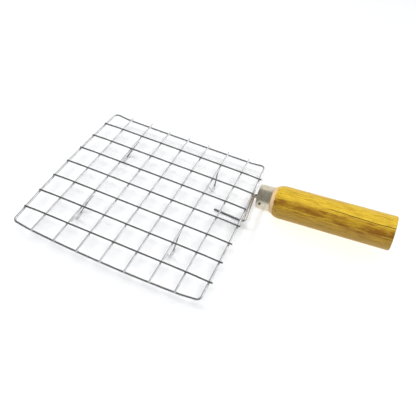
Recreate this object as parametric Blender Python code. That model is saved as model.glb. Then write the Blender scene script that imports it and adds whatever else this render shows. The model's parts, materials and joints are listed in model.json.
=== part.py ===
"""Flat wire roasting grill with a cranked shank and a wooden handle.

A square mesh of straight wires is welded on a heavier frame wire and stands on four bent wire feet.
Sizes are in metres. +X runs from the mesh to the handle's end, +Y is the side the handle is cranked
to, and +Z is up. Z = 0 is the table, and X = 0, Y = 0 is the middle of the whole outline.
"""

import math

import bmesh
import bpy
from mathutils import Matrix, Vector

# Whole part
OVERALL_LENGTH = 0.280
TOUCH_GAP = 0.0003          # left between two pieces that meet
WIRE_SIDES = 12
END_CHAMFER = 0.0002        # on every cut wire end

# Frame wire: a closed loop bent by hand, so its four sides are neither square nor straight.
# Corners are where the sides would meet, from the middle of the mesh, along the wire's middle.
FRAME_RADIUS = 0.0010
NEAR_LEFT = Vector((-0.0785, -0.0757))
NEAR_RIGHT = Vector((0.0792, -0.0770))
FAR_LEFT = Vector((-0.0782, 0.0804))
FAR_RIGHT = Vector((0.0768, 0.0810))
NEAR_BOW = 0.0026           # how far the middle of a side curves out
LEFT_BOW = 0.0020
RIGHT_BOW = 0.0013
FAR_BOW = -0.0004           # the far side curves in
FRAME_CORNER_PART = 0.045   # part of a half side that each corner's arc takes
FRAME_END_RISE = 0.00135    # the left and right sides are sprung up towards the long wires
FRAME_LEVEL_HALF = 0.0630   # the near and far sides are level this far from the middle
FRAME_RISEN_HALF = 0.0768   # and have risen fully here
CORNER_STEPS = 7
SIDE_STEPS = 14

# Mesh wires
MESH_RADIUS = 0.00075
MESH_PITCH = 0.0202         # the same both ways
LONG_WIRE_COUNT = 7
LONG_WIRE_FREE_END = 0.0002     # past the frame wire's middle, away from the handle
LONG_WIRE_HANDLE_ENDS = (       # past it on the handle side, wire 1 (far) to 7 (near)
    0.0022, 0.0012, 0.0011, 0.0023, 0.0029, 0.0028, 0.0030,
)
LONG_WIRE_SWEEP = 0.0140        # length over which an end comes down on the frame
CROSS_WIRE_COUNT = 7
CROSS_WIRE_ENDS = (             # near and far end of each, as Y: cut and laid by hand, 165 mm over all
    (-0.0795, 0.0803), (-0.0800, 0.0825), (-0.0812, 0.0802), (-0.0825, 0.0805),
    (-0.0814, 0.0804), (-0.0809, 0.0814), (-0.0805, 0.0818),
)

# Heights
CROSS_WIRE_Z = 0.0138
LONG_WIRE_Z = CROSS_WIRE_Z + 2 * MESH_RADIUS + TOUCH_GAP
FRAME_Z = CROSS_WIRE_Z - MESH_RADIUS - FRAME_RADIUS - TOUCH_GAP
FRAME_END_Z = FRAME_Z + FRAME_END_RISE
LONG_WIRE_END_Z = FRAME_END_Z + FRAME_RADIUS + MESH_RADIUS + TOUCH_GAP

# Feet: a V of bent wire with a short tab at each end, welded under a cross wire
FOOT_RADIUS = 0.00075
FOOT_CROSS_WIRE = 2         # the second cross wire from each end carries two feet
FOOT_TOP_HALF_WIDTH = 0.0110
FOOT_BOTTOM_HALF_WIDTH = 0.0036
FOOT_TAB = 0.0050
FOOT_BEND_RADIUS = 0.0030
FOOT_KNEE_RADIUS = 0.0016
FEET = {                    # Y of the foot's middle, and how far its bottom leans along X
    "foot_near_left": (-0.0409, -0.0047),
    "foot_far_left": (0.0381, -0.0052),
    "foot_near_right": (-0.0409, -0.0002),
    "foot_far_right": (0.0420, 0.0013),
}

# Shank: one thick wire, from under the mesh to deep inside the handle
SHANK_RADIUS = 0.0016
SHANK_SIDES = 14
SHANK_START = (0.0548, 0.0089)      # X from the middle of the mesh, Y
SHANK_CORNER = (0.0820, 0.0086)
SHANK_CORNER_RADIUS = 0.0038
SHANK_BEND_X = 0.0790               # where it turns towards the handle
SHANK_BEND_Z = FRAME_END_Z - FRAME_RADIUS - SHANK_RADIUS - TOUCH_GAP
SHANK_BEND_RADIUS = 0.0020
SHANK_SET_RADIUS = 0.0030           # of the slight bend at the mouth, where it meets the axis
SHANK_SET_BACK = 0.0002             # that bend's distance outside the mouth
TANG_DEPTH = 0.0560                 # from the ferrule's mouth into the wood

# Handle axis
HANDLE_Y = 0.0419
HANDLE_TILT = math.radians(6.3)     # rises towards the outer end
HANDLE_MOUTH_X = 0.0837             # the ferrule's open end, from the middle of the mesh
HANDLE_MOUTH_Z = 0.0122

# Ferrule: a short metal sleeve
FERRULE_LENGTH = 0.0123
FERRULE_RADIUS = 0.0108
FERRULE_MOUTH_RADIUS = 0.0104
FERRULE_WALL = 0.0009
FERRULE_SIDES = 40

# Nail through the ferrule into the wood
NAIL_FROM_MOUTH = 0.0038
NAIL_ANGLE = math.radians(171)      # round the axis from +Y towards up
NAIL_RADIUS = 0.0006
NAIL_HEAD_RADIUS = 0.0010
NAIL_HEAD_HEIGHT = 0.0004
NAIL_LENGTH = 0.0050
NAIL_SIDES = 12

# Wooden handle
WOOD_RADIUS = 0.0145
WOOD_SIDES = 48
SPIGOT_START = 0.0010               # inside the ferrule's mouth
CHAMFER_INNER_RADIUS = 0.0111       # the bare chamfer next to the ferrule
CHAMFER_OUTER_RADIUS = 0.0129
CHAMFER_LENGTH = 0.0032
SHOULDER_LENGTH = 0.0064
SHOULDER_STEPS = 6
END_ROUND = 0.0007
END_STEPS = 3
BORE_TIP = 0.0020                   # cone at the bottom of the bore

# Middle of the mesh: the frame's left side is the outline's left end, and the frame as a whole
# sits a little towards the far side of the long wires.
MESH_X = -OVERALL_LENGTH / 2 + FRAME_RADIUS + LEFT_BOW - (NEAR_LEFT.x + FAR_LEFT.x) / 2
MESH_Y = -0.0016
HANDLE_END_X = OVERALL_LENGTH / 2 - (WOOD_RADIUS - END_ROUND) * math.sin(HANDLE_TILT)
HANDLE_AXIS = Vector((math.cos(HANDLE_TILT), 0.0, math.sin(HANDLE_TILT)))
HANDLE_MOUTH = Vector((MESH_X + HANDLE_MOUTH_X, HANDLE_Y, HANDLE_MOUTH_Z))
HANDLE_LENGTH = (HANDLE_END_X - HANDLE_MOUTH.x) / math.cos(HANDLE_TILT)


def clear_scene():
    for thing in list(bpy.data.objects):
        bpy.data.objects.remove(thing, do_unlink=True)


def make_material(name, colour, roughness, metallic):
    material = bpy.data.materials.new(name)
    material.use_nodes = True
    shader = material.node_tree.nodes["Principled BSDF"]
    shader.inputs["Base Color"].default_value = (*colour, 1.0)
    shader.inputs["Roughness"].default_value = roughness
    shader.inputs["Metallic"].default_value = metallic
    material.diffuse_color = (*colour, 1.0)
    return material


def add_object(name, shape, look):
    """Turn a finished bmesh into a named object with its own material."""
    bmesh.ops.recalc_face_normals(shape, faces=shape.faces)
    for face in shape.faces:
        face.smooth = True
    mesh = bpy.data.meshes.new(name)
    shape.to_mesh(mesh)
    shape.free()
    mesh.set_sharp_from_angle(angle=math.radians(35))
    mesh.materials.append(make_material(name, *look))
    thing = bpy.data.objects.new(name, mesh)
    bpy.context.scene.collection.objects.link(thing)
    return thing


# Wires

def arc_points(before, corner, after, radius, steps):
    """Points of the arc that rounds one corner of a path."""
    back = (before - corner).normalized()
    ahead = (after - corner).normalized()
    half_angle = back.angle(ahead) / 2
    reach = radius / math.tan(half_angle)
    middle = corner + (back + ahead).normalized() * (radius / math.sin(half_angle))
    start = corner + back * reach - middle
    turn = math.pi - 2 * half_angle
    spin_axis = back.cross(start).normalized()
    return [middle + Matrix.Rotation(turn * i / steps, 3, spin_axis) @ start for i in range(steps + 1)]


def rounded_path(corners, radii, steps=6):
    """A path through the corner points, with each inner corner rounded to its own radius."""
    points = [corners[0]]
    for i, radius in enumerate(radii, start=1):
        points += arc_points(corners[i - 1], corners[i], corners[i + 1], radius, steps)
    points.append(corners[-1])
    return points


def path_directions(points, closed):
    count = len(points)
    directions = []
    for i in range(count):
        before = points[i - 1] if closed or i > 0 else points[i]
        after = points[(i + 1) % count] if closed or i < count - 1 else points[i]
        directions.append((after - before).normalized())
    return directions


def ring_of_points(shape, centre, direction, side, radius, sides):
    """One ring of vertices round a path point; side sets where the ring begins."""
    up = direction.cross(side).normalized()
    side = up.cross(direction).normalized()
    ring = []
    for i in range(sides):
        angle = 2 * math.pi * i / sides
        ring.append(shape.verts.new(centre + side * (radius * math.cos(angle)) + up * (radius * math.sin(angle))))
    return ring


def join_rings(shape, first, second):
    count = len(first)
    for i in range(count):
        j = (i + 1) % count
        shape.faces.new((first[i], first[j], second[j], second[i]))


def chamfered_ends(points):
    """Add a point just inside each end, for the ring where the end chamfer starts."""
    first = points[0] + (points[1] - points[0]).normalized() * END_CHAMFER
    last = points[-1] + (points[-2] - points[-1]).normalized() * END_CHAMFER
    return [points[0], first] + points[1:-1] + [last, points[-1]]


def wire(points, radius, sides=WIRE_SIDES, closed=False):
    """A round wire swept along a path, closed into a loop or cut off with chamfered ends."""
    shape = bmesh.new()
    if not closed:
        points = chamfered_ends(points)
    directions = path_directions(points, closed)
    side = directions[0].orthogonal().normalized()
    if abs(directions[0].z) < 0.9:
        side = directions[0].cross(Vector((0, 0, 1))).normalized()
    rings = []
    for i, (point, direction) in enumerate(zip(points, directions)):
        if i > 0:
            side = directions[i - 1].rotation_difference(direction) @ side
        at_end = not closed and i in (0, len(points) - 1)
        ring_radius = radius - END_CHAMFER if at_end else radius
        rings.append(ring_of_points(shape, point, direction, side, ring_radius, sides))
    for first, second in zip(rings, rings[1:]):
        join_rings(shape, first, second)
    if closed:
        join_rings(shape, rings[-1], rings[0])
    else:
        shape.faces.new(rings[0])
        shape.faces.new(list(reversed(rings[-1])))
    return shape


def smooth_step(part):
    """Goes from 0 to 1 with a level start and end."""
    part = max(0.0, min(1.0, part))
    return part * part * (3 - 2 * part)


def frame_height(x):
    """Height of the frame wire's middle at a distance x from the middle of the mesh."""
    outwards = (abs(x) - FRAME_LEVEL_HALF) / (FRAME_RISEN_HALF - FRAME_LEVEL_HALF)
    return FRAME_Z + FRAME_END_RISE * smooth_step(outwards)


def frame_point(across, along):
    """Point of the frame's plane, from the middle of the mesh; -1 to 1 runs from side to side."""
    near = NEAR_LEFT.lerp(NEAR_RIGHT, (across + 1) / 2)
    far = FAR_LEFT.lerp(FAR_RIGHT, (across + 1) / 2)
    point = near.lerp(far, (along + 1) / 2)
    end_bow = FAR_BOW * (1 + along) / 2 - NEAR_BOW * (1 - along) / 2
    point.y += end_bow * (1 - across * across)
    side_bow = RIGHT_BOW * (1 + across) / 2 - LEFT_BOW * (1 - across) / 2
    point.x += side_bow * (1 - along * along)
    return point


def frame_side_x(side, y):
    """X of the left (-1) or right (1) side of the frame where it passes y, from the mesh's middle."""
    low = frame_point(side, -1).y
    high = frame_point(side, 1).y
    return frame_point(side, 2 * (y - low) / (high - low) - 1).x


def frame_path():
    """The frame wire's middle line: four bowed sides with rounded corners."""
    corner = 1 - FRAME_CORNER_PART
    outline = []
    for quarter, (sign_x, sign_y) in enumerate(((1, 1), (-1, 1), (-1, -1), (1, -1))):
        for i in range(CORNER_STEPS + 1):
            angle = math.pi / 2 * (quarter + i / CORNER_STEPS)
            outline.append((
                sign_x * corner + FRAME_CORNER_PART * math.cos(angle),
                sign_y * corner + FRAME_CORNER_PART * math.sin(angle),
            ))
        travel = -1 if quarter in (0, 1) else 1
        for i in range(1, SIDE_STEPS):
            step = travel * corner * (2 * i / SIDE_STEPS - 1)
            outline.append((step, sign_y) if quarter in (0, 2) else (sign_x, step))
    points = [frame_point(across, along) for across, along in outline]
    return [Vector((MESH_X + p.x, MESH_Y + p.y, frame_height(p.x))) for p in points]


def long_wire_path(y, handle_end):
    """Straight over the cross wires, with each end swept down on the frame."""
    left = frame_side_x(-1, y)
    right = frame_side_x(1, y)
    points = [Vector((left - LONG_WIRE_FREE_END, 0, LONG_WIRE_END_Z))]
    steps = 6
    for side, sign, order in ((left, -1, range(steps + 1)), (right, 1, range(steps, -1, -1))):
        for i in order:
            part = i / steps
            x = side - sign * (FRAME_RADIUS + LONG_WIRE_SWEEP * part)
            z = LONG_WIRE_END_Z + (LONG_WIRE_Z - LONG_WIRE_END_Z) * smooth_step(part)
            points.append(Vector((x, 0, z)))
    points.append(Vector((right + handle_end, 0, LONG_WIRE_END_Z)))
    return [point + Vector((MESH_X, MESH_Y + y, 0)) for point in points]


def build_mesh(plated, plated_dark):
    add_object("perimeter_frame", wire(frame_path(), FRAME_RADIUS, closed=True), plated)
    for i, handle_end in enumerate(LONG_WIRE_HANDLE_ENDS):
        y = MESH_PITCH * ((LONG_WIRE_COUNT - 1) / 2 - i)
        add_object(f"long_wire_{i + 1}", wire(long_wire_path(y, handle_end), MESH_RADIUS), plated_dark)
    for i, reach in enumerate(CROSS_WIRE_ENDS):
        x = MESH_X + MESH_PITCH * (i - (CROSS_WIRE_COUNT - 1) / 2)
        ends = [Vector((x, y, CROSS_WIRE_Z)) for y in reach]
        add_object(f"cross_wire_{i + 1}", wire(ends, MESH_RADIUS), plated)


def foot_path(x, y, lean):
    """Tab, leg, rounded bottom, leg, tab: one bent wire in a plane that leans with the foot."""
    top = CROSS_WIRE_Z - MESH_RADIUS - FOOT_RADIUS - TOUCH_GAP
    bottom = FOOT_RADIUS
    half = FOOT_TOP_HALF_WIDTH
    foot = FOOT_BOTTOM_HALF_WIDTH
    corners = [
        Vector((x, y - half - FOOT_TAB, top)),
        Vector((x, y - half, top)),
        Vector((x + lean, y - foot, bottom)),
        Vector((x + lean, y + foot, bottom)),
        Vector((x, y + half, top)),
        Vector((x, y + half + FOOT_TAB, top)),
    ]
    radii = [FOOT_KNEE_RADIUS, FOOT_BEND_RADIUS, FOOT_BEND_RADIUS, FOOT_KNEE_RADIUS]
    return rounded_path(corners, radii, steps=5)


def build_feet(plated):
    reach = MESH_PITCH * ((CROSS_WIRE_COUNT + 1) / 2 - FOOT_CROSS_WIRE)
    for name, (y, lean) in FEET.items():
        x = MESH_X + (reach if "right" in name else -reach)
        add_object(name, wire(foot_path(x, y, lean), FOOT_RADIUS), plated)


def shank_path():
    """Under the last cross wire, under the frame, along the frame's side, then into the handle."""
    under_cross = CROSS_WIRE_Z - MESH_RADIUS - SHANK_RADIUS - TOUCH_GAP
    last_cross = MESH_PITCH * (CROSS_WIRE_COUNT - 1) / 2
    frame_side = frame_side_x(1, SHANK_START[1] - MESH_Y)
    slope = (SHANK_BEND_Z - under_cross) / (frame_side - last_cross)
    start_z = under_cross + slope * (SHANK_START[0] - last_cross)
    corners = [
        Vector((MESH_X + SHANK_START[0], SHANK_START[1], start_z)),
        Vector((MESH_X + SHANK_CORNER[0], SHANK_CORNER[1], SHANK_BEND_Z - TOUCH_GAP)),
        Vector((MESH_X + SHANK_BEND_X, HANDLE_Y, SHANK_BEND_Z)),
        HANDLE_MOUTH - HANDLE_AXIS * SHANK_SET_BACK,
        HANDLE_MOUTH + HANDLE_AXIS * TANG_DEPTH,
    ]
    radii = [SHANK_CORNER_RADIUS, SHANK_BEND_RADIUS, SHANK_SET_RADIUS]
    return rounded_path(corners, radii, steps=8)


# Turned pieces

def handle_frame():
    """Places a piece turned round its own X axis on the handle's axis, with X = 0 at the mouth."""
    return Matrix.Translation(HANDLE_MOUTH) @ Matrix.Rotation(-HANDLE_TILT, 4, "Y")


def turned(profile, sides, closed_profile=False):
    """Spin a list of (distance along X, radius) round X. A radius of 0 makes a point on the axis."""
    shape = bmesh.new()
    rings = []
    for along, radius in profile:
        if radius == 0:
            rings.append([shape.verts.new((along, 0, 0))])
            continue
        ring = []
        for i in range(sides):
            angle = 2 * math.pi * i / sides
            ring.append(shape.verts.new((along, radius * math.cos(angle), radius * math.sin(angle))))
        rings.append(ring)
    pairs = list(zip(rings, rings[1:]))
    if closed_profile:
        pairs.append((rings[-1], rings[0]))
    for first, second in pairs:
        if len(first) == 1 or len(second) == 1:
            tip, ring = (first[0], second) if len(first) == 1 else (second[0], first)
            for i in range(sides):
                shape.faces.new((tip, ring[i], ring[(i + 1) % sides]))
        else:
            join_rings(shape, first, second)
    return shape


def ferrule_shape():
    edge = 0.0003
    inner = FERRULE_RADIUS - FERRULE_WALL
    mouth_inner = FERRULE_MOUTH_RADIUS - FERRULE_WALL
    flare = 0.0030      # length of the slightly narrowed mouth
    profile = [
        (edge, FERRULE_MOUTH_RADIUS), (flare, FERRULE_RADIUS),
        (FERRULE_LENGTH - edge, FERRULE_RADIUS), (FERRULE_LENGTH, FERRULE_RADIUS - edge),
        (FERRULE_LENGTH, inner), (flare, inner), (0.0, mouth_inner), (0.0, FERRULE_MOUTH_RADIUS - edge),
    ]
    return turned(profile, FERRULE_SIDES, closed_profile=True)


def wood_shape():
    spigot = FERRULE_MOUTH_RADIUS - FERRULE_WALL - TOUCH_GAP
    shoulder_start = FERRULE_LENGTH + TOUCH_GAP
    chamfer_end = shoulder_start + CHAMFER_LENGTH
    bore = SHANK_RADIUS + TOUCH_GAP
    bore_end = TANG_DEPTH + TOUCH_GAP
    profile = [
        (bore_end + BORE_TIP, 0), (bore_end, bore), (SPIGOT_START, bore), (SPIGOT_START, spigot),
        (shoulder_start, spigot), (shoulder_start, CHAMFER_INNER_RADIUS),
        (chamfer_end, CHAMFER_OUTER_RADIUS),
    ]
    for i in range(1, SHOULDER_STEPS + 1):
        angle = math.pi / 2 * i / SHOULDER_STEPS
        profile.append((
            chamfer_end + SHOULDER_LENGTH * (1 - math.cos(angle)) ** 0.8,
            CHAMFER_OUTER_RADIUS + (WOOD_RADIUS - CHAMFER_OUTER_RADIUS) * math.sin(angle) ** 1.2,
        ))
    for i in range(END_STEPS + 1):
        angle = math.pi / 2 * i / END_STEPS
        profile.append((
            HANDLE_LENGTH - END_ROUND * (1 - math.sin(angle)),
            WOOD_RADIUS - END_ROUND * (1 - math.cos(angle)),
        ))
    profile.append((HANDLE_LENGTH, 0))
    return turned(profile, WOOD_SIDES)


def nail_frame():
    """Places a piece on the nail's axis: its X axis points out of the ferrule, X = 0 on its surface."""
    outwards = Vector((0, math.cos(NAIL_ANGLE), math.sin(NAIL_ANGLE)))
    turn = Vector((1, 0, 0)).rotation_difference(outwards).to_matrix().to_4x4()
    on_surface = Vector((NAIL_FROM_MOUTH, 0, 0)) + outwards * FERRULE_RADIUS
    return handle_frame() @ Matrix.Translation(on_surface) @ turn


def nail_shape():
    head = TOUCH_GAP + NAIL_HEAD_HEIGHT
    return turned([
        (-NAIL_LENGTH - NAIL_RADIUS, 0), (-NAIL_LENGTH, NAIL_RADIUS), (TOUCH_GAP, NAIL_RADIUS),
        (TOUCH_GAP, NAIL_HEAD_RADIUS), (head - 0.0001, NAIL_HEAD_RADIUS),
        (head, NAIL_HEAD_RADIUS * 0.7), (head, 0),
    ], NAIL_SIDES)


def nail_hole_cutter():
    depth = NAIL_LENGTH + NAIL_RADIUS + TOUCH_GAP
    radius = NAIL_RADIUS + TOUCH_GAP
    shape = turned([(-depth, 0), (-depth, radius), (0.002, radius), (0.002, 0)], NAIL_SIDES)
    shape.transform(nail_frame())
    cutter = add_object("nail_hole_cutter", shape, ((0.5, 0.5, 0.5), 0.5, 0.0))
    cutter.hide_render = True
    cutter.display_type = "WIRE"
    return cutter


def cut(thing, cutter):
    """Cut the cutter out of an object and keep the result as its mesh."""
    modifier = thing.modifiers.new("hole", "BOOLEAN")
    modifier.operation = "DIFFERENCE"
    modifier.solver = "EXACT"
    modifier.object = cutter
    graph = bpy.context.evaluated_depsgraph_get()
    mesh = bpy.data.meshes.new_from_object(thing.evaluated_get(graph), depsgraph=graph)
    thing.modifiers.clear()
    mesh.name = thing.name
    thing.data = mesh


def build_handle(zinc, varnished_wood, nail_steel, plated_thick):
    add_object("handle_shank", wire(shank_path(), SHANK_RADIUS, SHANK_SIDES), plated_thick)
    sleeve_shape = ferrule_shape()
    sleeve_shape.transform(handle_frame())
    sleeve = add_object("ferrule", sleeve_shape, zinc)
    grip_shape = wood_shape()
    grip_shape.transform(handle_frame())
    grip = add_object("wooden_handle", grip_shape, varnished_wood)
    cutter = nail_hole_cutter()
    cut(sleeve, cutter)
    cut(grip, cutter)
    bpy.data.objects.remove(cutter, do_unlink=True)
    nail = nail_shape()
    nail.transform(nail_frame())
    add_object("ferrule_nail", nail, nail_steel)


def build():
    clear_scene()
    plated = ((0.66, 0.67, 0.69), 0.24, 1.0)
    plated_dark = ((0.50, 0.51, 0.53), 0.28, 1.0)
    plated_thick = ((0.58, 0.58, 0.60), 0.26, 1.0)
    zinc = ((0.60, 0.58, 0.52), 0.34, 1.0)
    varnished_wood = ((0.56, 0.33, 0.07), 0.38, 0.0)
    nail_steel = ((0.16, 0.15, 0.14), 0.45, 1.0)
    build_mesh(plated, plated_dark)
    build_feet(plated)
    build_handle(zinc, varnished_wood, nail_steel, plated_thick)


build()
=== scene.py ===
# %% [markdown]
# # A wire roasting grill with a wooden handle
#
# The object is a flat square mesh of plated wire on four bent wire feet. A thick cranked wire
# joins it to a round wooden handle with a metal ferrule. It is used to puff flatbread over a flame.
#
# The mechanical model is already made and gives every place and size, so this file only gives
# each piece its finished shape and its finish. Each wire is swept again along the same line with
# a rounder section, the welds and the turned wood are modelled, and then the finishes are made.

import json
import math
import random

import bmesh
import bpy
from mathutils import Matrix, Vector, noise

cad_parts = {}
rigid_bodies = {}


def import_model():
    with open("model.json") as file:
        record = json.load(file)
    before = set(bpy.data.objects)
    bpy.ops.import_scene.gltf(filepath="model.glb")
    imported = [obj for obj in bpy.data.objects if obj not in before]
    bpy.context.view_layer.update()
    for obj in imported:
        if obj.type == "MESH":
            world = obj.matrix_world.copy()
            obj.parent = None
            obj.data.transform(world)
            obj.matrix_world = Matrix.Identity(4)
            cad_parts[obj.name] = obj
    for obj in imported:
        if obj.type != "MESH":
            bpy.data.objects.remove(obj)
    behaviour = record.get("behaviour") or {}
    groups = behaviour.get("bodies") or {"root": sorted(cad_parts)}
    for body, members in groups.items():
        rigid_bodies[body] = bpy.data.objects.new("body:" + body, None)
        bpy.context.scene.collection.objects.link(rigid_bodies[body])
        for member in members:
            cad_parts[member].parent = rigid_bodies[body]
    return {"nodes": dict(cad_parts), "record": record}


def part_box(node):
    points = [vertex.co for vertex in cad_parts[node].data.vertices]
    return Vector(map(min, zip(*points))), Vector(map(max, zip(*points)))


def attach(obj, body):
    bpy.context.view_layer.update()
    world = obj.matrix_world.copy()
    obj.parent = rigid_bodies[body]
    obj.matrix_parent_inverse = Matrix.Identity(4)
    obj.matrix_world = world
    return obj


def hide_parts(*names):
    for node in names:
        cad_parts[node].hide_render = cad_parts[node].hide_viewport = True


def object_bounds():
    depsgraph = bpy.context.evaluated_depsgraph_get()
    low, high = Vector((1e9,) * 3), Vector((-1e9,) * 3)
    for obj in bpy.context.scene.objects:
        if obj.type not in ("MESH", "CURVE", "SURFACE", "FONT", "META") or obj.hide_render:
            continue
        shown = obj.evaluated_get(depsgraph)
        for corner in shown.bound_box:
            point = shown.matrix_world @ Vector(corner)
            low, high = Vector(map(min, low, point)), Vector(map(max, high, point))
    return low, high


for thing in list(bpy.data.objects):
    bpy.data.objects.remove(thing, do_unlink=True)
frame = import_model()
cad_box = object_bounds()
random.seed(7)


def rounded(values, digits=4):
    return [round(value, digits) for value in values]


print("nodes:", len(frame["nodes"]), "box:", rounded(cad_box[0]), rounded(cad_box[1]))

# %% [markdown]
# ## The camera
#
# The camera stands near the handle's side of the grill and looks down on it at about 47 degrees.
# Its direction is given as an azimuth round the object, an elevation above the table and a small
# roll, which is easier to read and to change than three Euler angles.

# %% Camera
CAMERA_PLACE = Vector((0.0684, -0.2593, 0.3096))
CAMERA_AZIMUTH = math.radians(16.15)
CAMERA_ELEVATION = math.radians(46.96)
CAMERA_ROLL = math.radians(8.99)
CAMERA_LENS_MM = 42.05
CAMERA_SENSOR_MM = 36.0


def camera_turn(azimuth, elevation, roll):
    """Rotation of a camera that looks from that azimuth and elevation, rolled about its own axis."""
    back = Vector((
        math.sin(azimuth) * math.cos(elevation),
        -math.cos(azimuth) * math.cos(elevation),
        math.sin(elevation),
    ))
    level_right = Vector((math.cos(azimuth), math.sin(azimuth), 0.0))
    level_up = back.cross(level_right)
    right = level_right * math.cos(roll) + level_up * math.sin(roll)
    up = back.cross(right)
    return Matrix((right, up, back)).transposed()


camera_data = bpy.data.cameras.new("camera")
camera_data.lens = CAMERA_LENS_MM
camera_data.sensor_width = CAMERA_SENSOR_MM
camera_data.clip_start = 0.01
camera = bpy.data.objects.new("camera", camera_data)
turn = camera_turn(CAMERA_AZIMUTH, CAMERA_ELEVATION, CAMERA_ROLL)
camera.matrix_world = Matrix.Translation(CAMERA_PLACE) @ turn.to_4x4()
bpy.context.scene.collection.objects.link(camera)
bpy.context.scene.camera = camera
print("camera at", rounded(CAMERA_PLACE))

# %% [markdown]
# ## Sizes read from the model
#
# Every piece goes where its node is, so the lines of the wires are worked out from the nodes'
# boxes. Only what a box can't tell, such as a bend's radius, is given as a number here.

# %% Sizes
MM = 0.001
LONG_WIRES = [f"long_wire_{i}" for i in range(1, 8)]
CROSS_WIRES = [f"cross_wire_{i}" for i in range(1, 8)]
FEET = ["foot_near_left", "foot_far_left", "foot_near_right", "foot_far_right"]


def middle(node):
    """The middle of a node's box."""
    low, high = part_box(node)
    return (low + high) / 2


def size(node):
    """The lengths of a node's box along X, Y and Z."""
    low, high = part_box(node)
    return high - low


MESH_RADIUS = size("cross_wire_1").x / 2
FRAME_RADIUS = 1.0 * MM
SHANK_RADIUS = 1.6 * MM
TOUCH_GAP = 0.3 * MM        # that the model leaves between two wires that touch
CROSS_Z = middle("cross_wire_1").z
LONG_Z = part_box("long_wire_1")[1].z - MESH_RADIUS
LONG_END_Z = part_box("long_wire_1")[0].z + MESH_RADIUS
FRAME_LOW_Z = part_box("perimeter_frame")[0].z + FRAME_RADIUS
FRAME_HIGH_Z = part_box("perimeter_frame")[1].z - FRAME_RADIUS
MESH_MIDDLE = Vector((middle("cross_wire_4").x, middle("long_wire_4").y))
print("mesh wire radius", round(MESH_RADIUS, 5), "middle of the mesh", rounded(MESH_MIDDLE, 5))

# %% [markdown]
# ## Sweeping a wire
#
# A wire is a circle carried along a line. A curve with a bevel does this in two settings, and its
# point radius can narrow the last bit of each end, as a wire that was cut in a press has a small
# burr-free bevel. Turning the curve into a mesh afterwards keeps the piece light to handle.

# %% Wire helpers
CUT_BEVEL_LENGTH = 0.3      # both as parts of the wire's radius
CUT_BEVEL_RADIUS = 0.74


def link_mesh(name, shape, smooth_below=40):
    """Turn a bmesh into a linked object, smooth except over its sharp edges."""
    bmesh.ops.recalc_face_normals(shape, faces=shape.faces)
    mesh = bpy.data.meshes.new(name)
    shape.to_mesh(mesh)
    shape.free()
    mesh.shade_smooth()
    mesh.set_sharp_from_angle(angle=math.radians(smooth_below))
    thing = bpy.data.objects.new(name, mesh)
    bpy.context.scene.collection.objects.link(thing)
    return thing


def sweep_wire(name, points, radius, closed=False, roundness=5):
    """A round wire along a line of points, with bevelled cut ends unless it is a closed loop."""
    curve = bpy.data.curves.new(name, "CURVE")
    curve.dimensions = "3D"
    curve.bevel_depth = radius
    curve.bevel_resolution = roundness
    curve.use_fill_caps = True
    radii = [1.0] * len(points)
    if not closed:
        first_step = (points[1] - points[0]).normalized() * radius * CUT_BEVEL_LENGTH
        last_step = (points[-2] - points[-1]).normalized() * radius * CUT_BEVEL_LENGTH
        points = [points[0], points[0] + first_step] + points[1:-1] + [points[-1] + last_step, points[-1]]
        radii = [CUT_BEVEL_RADIUS, 1.0] + radii[1:-1] + [1.0, CUT_BEVEL_RADIUS]
    spline = curve.splines.new("POLY")
    spline.points.add(len(points) - 1)
    spline.use_cyclic_u = closed
    for target, point, scale in zip(spline.points, points, radii):
        target.co = (*point, 1.0)
        target.radius = scale
    guide = bpy.data.objects.new(name, curve)
    bpy.context.scene.collection.objects.link(guide)
    mesh = bpy.data.meshes.new_from_object(guide)
    bpy.data.objects.remove(guide)
    bpy.data.curves.remove(curve)
    shape = bmesh.new()
    shape.from_mesh(mesh)
    bpy.data.meshes.remove(mesh)
    bmesh.ops.remove_doubles(shape, verts=shape.verts, dist=0.000001)
    return link_mesh(name, shape)


print("wires can be swept, with bevelled ends of", CUT_BEVEL_RADIUS, "of their radius")

# %% [markdown]
# ## The shape of the frame
#
# The real frame is one thicker wire, bent round four pegs, and its sides come out neither square
# nor straight. So a point of the frame is found by stretching a square over its four corners and
# bowing the sides. The mesh wires and the welds use the same functions to find the frame.

# %% Shape of the frame
NEAR_LEFT, NEAR_RIGHT = Vector((-78.5, -75.7)) * MM, Vector((79.2, -77.0)) * MM
FAR_LEFT, FAR_RIGHT = Vector((-78.2, 80.4)) * MM, Vector((76.8, 81.0)) * MM
NEAR_BOW, FAR_BOW, LEFT_BOW, RIGHT_BOW = 2.6 * MM, -0.4 * MM, 2.0 * MM, 1.3 * MM
FRAME_LEVEL_HALF = 63.0 * MM    # inside this x the frame's near and far sides are level
FRAME_RISEN_HALF = 76.8 * MM    # past this x it has risen to carry the long wires


def ease(part):
    """A soft step from 0 to 1."""
    part = max(0.0, min(1.0, part))
    return part * part * (3 - 2 * part)


def frame_point(across, along):
    """Where a point of the square from -1 to 1 comes on the frame's plane, from the mesh's middle."""
    near = NEAR_LEFT.lerp(NEAR_RIGHT, (across + 1) / 2)
    far = FAR_LEFT.lerp(FAR_RIGHT, (across + 1) / 2)
    point = near.lerp(far, (along + 1) / 2)
    point.y += (FAR_BOW * (1 + along) - NEAR_BOW * (1 - along)) / 2 * (1 - across * across)
    point.x += (RIGHT_BOW * (1 + across) - LEFT_BOW * (1 - across)) / 2 * (1 - along * along)
    return point


def frame_place(point):
    """The same point in the scene, at the height of the frame wire's middle."""
    outwards = (abs(point.x) - FRAME_LEVEL_HALF) / (FRAME_RISEN_HALF - FRAME_LEVEL_HALF)
    height = FRAME_LOW_Z + (FRAME_HIGH_Z - FRAME_LOW_Z) * ease(outwards)
    return Vector((*(MESH_MIDDLE + point), height))


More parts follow.
